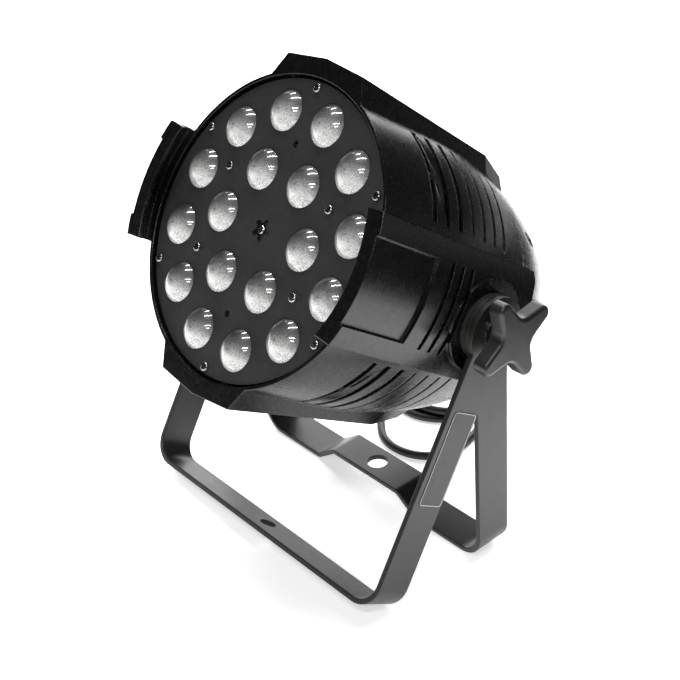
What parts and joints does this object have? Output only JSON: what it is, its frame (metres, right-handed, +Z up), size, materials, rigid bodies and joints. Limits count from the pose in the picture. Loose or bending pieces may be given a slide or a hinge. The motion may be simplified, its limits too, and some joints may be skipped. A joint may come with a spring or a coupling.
{
  "type": "par can light",
  "caption": "Motorised-zoom LED par can: round tilted lamp head with a lens plate, standing on a double U bracket with clamp knobs, with a coiled mains lead.",
  "frame": {"origin": "on the floor, under the middle of the object without its lead", "axes": "+Z up, -Y the side the lenses face, X along the pivot axis"},
  "size_m": [0.303, 0.3686, 0.3576],
  "materials": {
    "cast_black": "satin",
    "bracket_paint": "satin",
    "plate_black": "matte",
    "panel_black": "matte",
    "lens_glass": "gloss",
    "black_plastic": "matte",
    "knob_plastic": "satin",
    "button_plastic": "satin",
    "bright_steel": "satin",
    "bare_aluminium": "satin",
    "brass": "satin",
    "circuit_board": "satin",
    "led_dome": "satin",
    "motor_steel": "satin",
    "rubber": "matte",
    "label_grey": "satin",
    "display_glass": "gloss"
  },
  "bodies": {
    "head": {"board_tray": "black_plastic", "cable_gland": "black_plastic", "cord_coil": "rubber", "cord_drop": "rubber", "cord_tail": "rubber", "data_input": "black_plastic", "data_output": "black_plastic", "display_board": "circuit_board", "display_window": "display_glass", "driver_board": "circuit_board", "fan_frame": "black_plastic", "fan_posts": "bright_steel", "friction_disc_left": "rubber", "friction_disc_right": "rubber", "front_shell": "cast_black", "fuse_holder": "black_plastic", "guide_rods": "bright_steel", "heat_sink": "bare_aluminium", "led_board": "circuit_board", "led_board_screws": "bright_steel", "led_emitters": "led_dome", "mains_plug": "black_plastic", "panel_screws": "bright_steel", "pivot_insert_left": "bare_aluminium", "pivot_insert_right": "bare_aluminium", "power_supply": "circuit_board", "rear_panel": "panel_black", "rear_shell": "cast_black", "safety_eye": "bright_steel", "shell_screws": "bright_steel", "sink_screws": "bright_steel", "strain_relief": "rubber", "zoom_motor": "motor_steel"},
    "front_bracket": {"front_bracket": "bracket_paint", "bracket_label": "label_grey"},
    "rear_bracket": {"rear_bracket": "bracket_paint"},
    "zoom_carriage": {"zoom_plate": "plate_black", "lenses": "lens_glass", "lens_holders": "black_plastic", "lens_carrier": "black_plastic", "carrier_posts": "bright_steel", "slide_bushes": "brass", "travelling_nut": "black_plastic", "edge_screws": "bright_steel", "post_screws": "bright_steel"},
    "lead_screw": {"lead_screw": "bright_steel"},
    "fan_rotor": {"fan_rotor": "black_plastic"},
    "knob_travel_left": {"knob_washer_left": "bright_steel"},
    "knob_travel_right": {"knob_washer_right": "bright_steel"},
    "knob_left": {"knob_left": "knob_plastic", "knob_stud_left": "bright_steel"},
    "knob_right": {"knob_right": "knob_plastic", "knob_stud_right": "bright_steel"},
    "button_menu": {"button_menu": "button_plastic"},
    "button_down": {"button_down": "button_plastic"},
    "button_up": {"button_up": "button_plastic"},
    "button_enter": {"button_enter": "button_plastic"}
  },
  "joints": [
    {"name": "front_bracket_tilt", "type": "hinge", "parent": "head", "child": "front_bracket", "pos_m": [0, -0.00245, 0.1954], "axis": [-1, 0, 0], "range_deg": [-26.75, 173.25]},
    {"name": "rear_bracket_tilt", "type": "hinge", "parent": "head", "child": "rear_bracket", "pos_m": [0, -0.00245, 0.1954], "axis": [-1, 0, 0], "range_deg": [-24.1, 205.9]},
    {"name": "zoom_slide", "type": "slide", "parent": "head", "child": "zoom_carriage", "axis": [0, 0.8704, -0.4924], "range_m": [0, 0.024]},
    {"name": "lead_screw_spin", "type": "hinge", "parent": "head", "child": "lead_screw", "pos_m": [0, -0.09709, 0.2509], "axis": [0, 0.8704, -0.4924], "range_deg": [0, 1080]},
    {"name": "fan_spin", "type": "hinge", "parent": "head", "child": "fan_rotor", "pos_m": [0, -0.01005, 0.20166], "axis": [0, 0.8704, -0.4924], "continuous": true},
    {"name": "knob_left_travel", "type": "slide", "parent": "head", "child": "knob_travel_left", "axis": [-1, 0, 0], "range_m": [0, 0.0015]},
    {"name": "knob_left_turn", "type": "hinge", "parent": "knob_travel_left", "child": "knob_left", "pos_m": [0, -0.00245, 0.1954], "axis": [-1, 0, 0], "range_deg": [0, 360]},
    {"name": "knob_right_travel", "type": "slide", "parent": "head", "child": "knob_travel_right", "axis": [1, 0, 0], "range_m": [0, 0.0015]},
    {"name": "knob_right_turn", "type": "hinge", "parent": "knob_travel_right", "child": "knob_right", "pos_m": [0, -0.00245, 0.1954], "axis": [1, 0, 0], "range_deg": [0, 360]},
    {"name": "button_menu_press", "type": "slide", "parent": "head", "child": "button_menu", "axis": [0, -0.8704, 0.4924], "range_m": [0, 0.0008], "stiffness_N_per_m": 900, "springref_m": -0.0006},
    {"name": "button_down_press", "type": "slide", "parent": "head", "child": "button_down", "axis": [0, -0.8704, 0.4924], "range_m": [0, 0.0008], "stiffness_N_per_m": 900, "springref_m": -0.0006},
    {"name": "button_up_press", "type": "slide", "parent": "head", "child": "button_up", "axis": [0, -0.8704, 0.4924], "range_m": [0, 0.0008], "stiffness_N_per_m": 900, "springref_m": -0.0006},
    {"name": "button_enter_press", "type": "slide", "parent": "head", "child": "button_enter", "axis": [0, -0.8704, 0.4924], "range_m": [0, 0.0008], "stiffness_N_per_m": 900, "springref_m": -0.0006}
  ],
  "couplings": [
    {"joint": "lead_screw_spin", "follows": "zoom_slide", "rad_per_m": 785.4},
    {"joint": "knob_left_travel", "follows": "knob_left_turn", "m_per_rad": 0.00023873},
    {"joint": "knob_right_travel", "follows": "knob_right_turn", "m_per_rad": 0.00023873}
  ]
}
